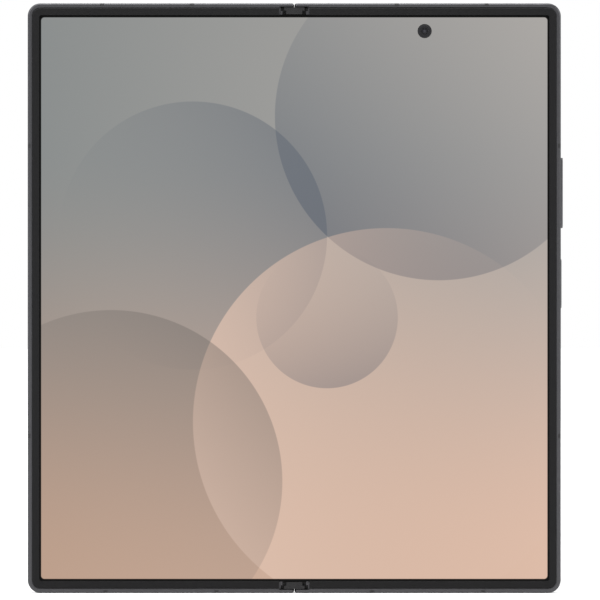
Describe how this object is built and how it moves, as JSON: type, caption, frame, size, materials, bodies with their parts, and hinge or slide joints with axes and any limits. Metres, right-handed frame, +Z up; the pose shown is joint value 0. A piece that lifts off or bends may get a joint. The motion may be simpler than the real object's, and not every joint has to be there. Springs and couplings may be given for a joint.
{
  "type": "foldable smartphone",
  "caption": "Book-style foldable phone, open flat, with a geared hinge in a spine, tilting wing plates, side keys, camera plate and card tray.",
  "frame": {"origin": "on the fold line, halfway through the body's thickness, at the bottom edge", "axes": "+Z up the phone, +X towards the half that carries the keys, -Y out of the inner display"},
  "size_m": [0.1438, 0.0062, 0.1584],
  "materials": {
    "frame_metal": "satin anodised, dark graphite",
    "rim_plastic": "fine matt, near black",
    "band_plastic": "matt, a shade darker than the metal",
    "back_glass": "frosted, opaque dark",
    "cover_glass": "polished, black behind",
    "camera_metal": "satin anodised, dark",
    "lens_glass": "polished, coated",
    "camera_black": "semi-gloss black",
    "flash_lens": "moulded clear yellow",
    "circuit_board": "solder mask",
    "shield_steel": "tinned sheet",
    "battery_wrap": "wrapped pouch cell",
    "copper_coil": "wound copper under film",
    "speaker_plastic": "matt black",
    "motor_steel": "plated can",
    "flex_film": "amber film",
    "magnet_nickel": "nickel plated",
    "screw_steel": "plain steel",
    "inner_screen": "lit display under a thin film",
    "cover_screen": "display, switched off",
    "key_metal": "satin anodised, dark graphite",
    "spine_metal": "satin anodised, dark graphite",
    "hinge_steel": "sintered steel",
    "spring_steel": "tempered steel",
    "wing_steel": "stamped sheet"
  },
  "bodies": {
    "right_half": {"right_frame": "frame_metal", "right_bezel": "rim_plastic", "right_antenna_bands": "band_plastic", "rear_glass": "back_glass", "camera_plate": "camera_metal", "camera_rings": "camera_metal", "camera_lenses": "lens_glass", "camera_modules": "camera_black", "camera_flash": "flash_lens", "main_board": "circuit_board", "board_shields": "shield_steel", "main_battery": "battery_wrap", "charging_coil": "copper_coil", "usb_port": "shield_steel", "bottom_board": "circuit_board", "loudspeaker": "speaker_plastic", "vibration_motor": "motor_steel", "microphones": "motor_steel", "inner_camera": "camera_black", "side_key_switches": "flex_film", "right_magnets": "magnet_nickel", "right_screws": "screw_steel", "right_display_panel": "inner_screen", "right_swing_arms": "hinge_steel", "right_hinge_screws": "screw_steel"},
    "volume_key": {"volume_key": "key_metal"},
    "power_key": {"power_key": "key_metal"},
    "spine": {"spine_cover": "spine_metal", "spine_end_caps": "spine_metal", "hinge_brackets": "hinge_steel", "bracket_screws": "screw_steel", "gear_shafts": "hinge_steel", "disc_springs": "spring_steel", "hinge_flex_cables": "flex_film", "display_bend_zone": "inner_screen"},
    "right_idlers": {"right_idler_gears": "hinge_steel"},
    "left_idlers": {"left_idler_gears": "hinge_steel"},
    "right_sync": {"right_sync_arms": "hinge_steel"},
    "left_sync": {"left_sync_arms": "hinge_steel"},
    "left_half": {"left_frame": "frame_metal", "left_bezel": "rim_plastic", "left_antenna_bands": "band_plastic", "cover_glass": "cover_glass", "cover_display_panel": "cover_screen", "cover_camera": "camera_black", "left_battery": "battery_wrap", "left_board": "circuit_board", "left_board_shield": "shield_steel", "earpiece_speaker": "speaker_plastic", "sim_tray_holder": "shield_steel", "left_magnets": "magnet_nickel", "left_screws": "screw_steel", "left_display_panel": "inner_screen", "left_swing_arms": "hinge_steel", "left_hinge_screws": "screw_steel"},
    "sim_tray": {"sim_tray": "key_metal"},
    "right_wing": {"right_wing_plate": "wing_steel"},
    "left_wing": {"left_wing_plate": "wing_steel"}
  },
  "joints": [
    {"name": "fold", "type": "hinge", "parent": "right_half", "child": "spine", "pos_m": [0.00135, -0.001, 0.0792], "axis": [0, 0, 1], "range_deg": [0, 90], "deforming": ["display_bend_zone", "hinge_flex_cables"]},
    {"name": "left_fold", "type": "hinge", "parent": "spine", "child": "left_half", "pos_m": [-0.00135, -0.001, 0.0792], "axis": [0, 0, 1], "range_deg": [0, 90], "deforming": ["display_bend_zone", "hinge_flex_cables"]},
    {"name": "right_sync_turn", "type": "hinge", "parent": "spine", "child": "right_sync", "pos_m": [0.0018, 0.00005, 0.0792], "axis": [0, 0, 1], "range_deg": [-90, 0]},
    {"name": "left_sync_turn", "type": "hinge", "parent": "spine", "child": "left_sync", "pos_m": [-0.0018, 0.00005, 0.0792], "axis": [0, 0, 1], "range_deg": [0, 90]},
    {"name": "right_idler_turn", "type": "hinge", "parent": "spine", "child": "right_idlers", "pos_m": [0.0006, 0.00005, 0.0792], "axis": [0, 0, 1], "range_deg": [0, 90]},
    {"name": "left_idler_turn", "type": "hinge", "parent": "spine", "child": "left_idlers", "pos_m": [-0.0006, 0.00005, 0.0792], "axis": [0, 0, 1], "range_deg": [-90, 0]},
    {"name": "right_wing_tilt", "type": "hinge", "parent": "right_half", "child": "right_wing", "pos_m": [0.011, -0.0012, 0.0792], "axis": [0, 0, 1], "range_deg": [-8, 0]},
    {"name": "left_wing_tilt", "type": "hinge", "parent": "left_half", "child": "left_wing", "pos_m": [-0.011, -0.0012, 0.0792], "axis": [0, 0, 1], "range_deg": [0, 8]},
    {"name": "volume_tip", "type": "hinge", "parent": "right_half", "child": "volume_key", "pos_m": [0.0687, 0, 0.1075], "axis": [0, 1, 0], "range_deg": [-1.3, 1.3], "stiffness_Nm_per_rad": 0.6},
    {"name": "power_press", "type": "slide", "parent": "right_half", "child": "power_key", "axis": [-1, 0, 0], "range_m": [0, 0.00025], "stiffness_N_per_m": 6000},
    {"name": "tray_slide", "type": "slide", "parent": "left_half", "child": "sim_tray", "axis": [0, 0, 1], "range_m": [0, 0.018]}
  ],
  "couplings": [
    {"joint": "left_fold", "follows": "fold", "ratio": 1},
    {"joint": "right_sync_turn", "follows": "fold", "ratio": -1},
    {"joint": "left_sync_turn", "follows": "fold", "ratio": 1},
    {"joint": "right_idler_turn", "follows": "fold", "ratio": 1},
    {"joint": "left_idler_turn", "follows": "fold", "ratio": -1},
    {"joint": "right_wing_tilt", "follows": "fold", "ratio": -0.088879},
    {"joint": "left_wing_tilt", "follows": "fold", "ratio": 0.088879}
  ]
}
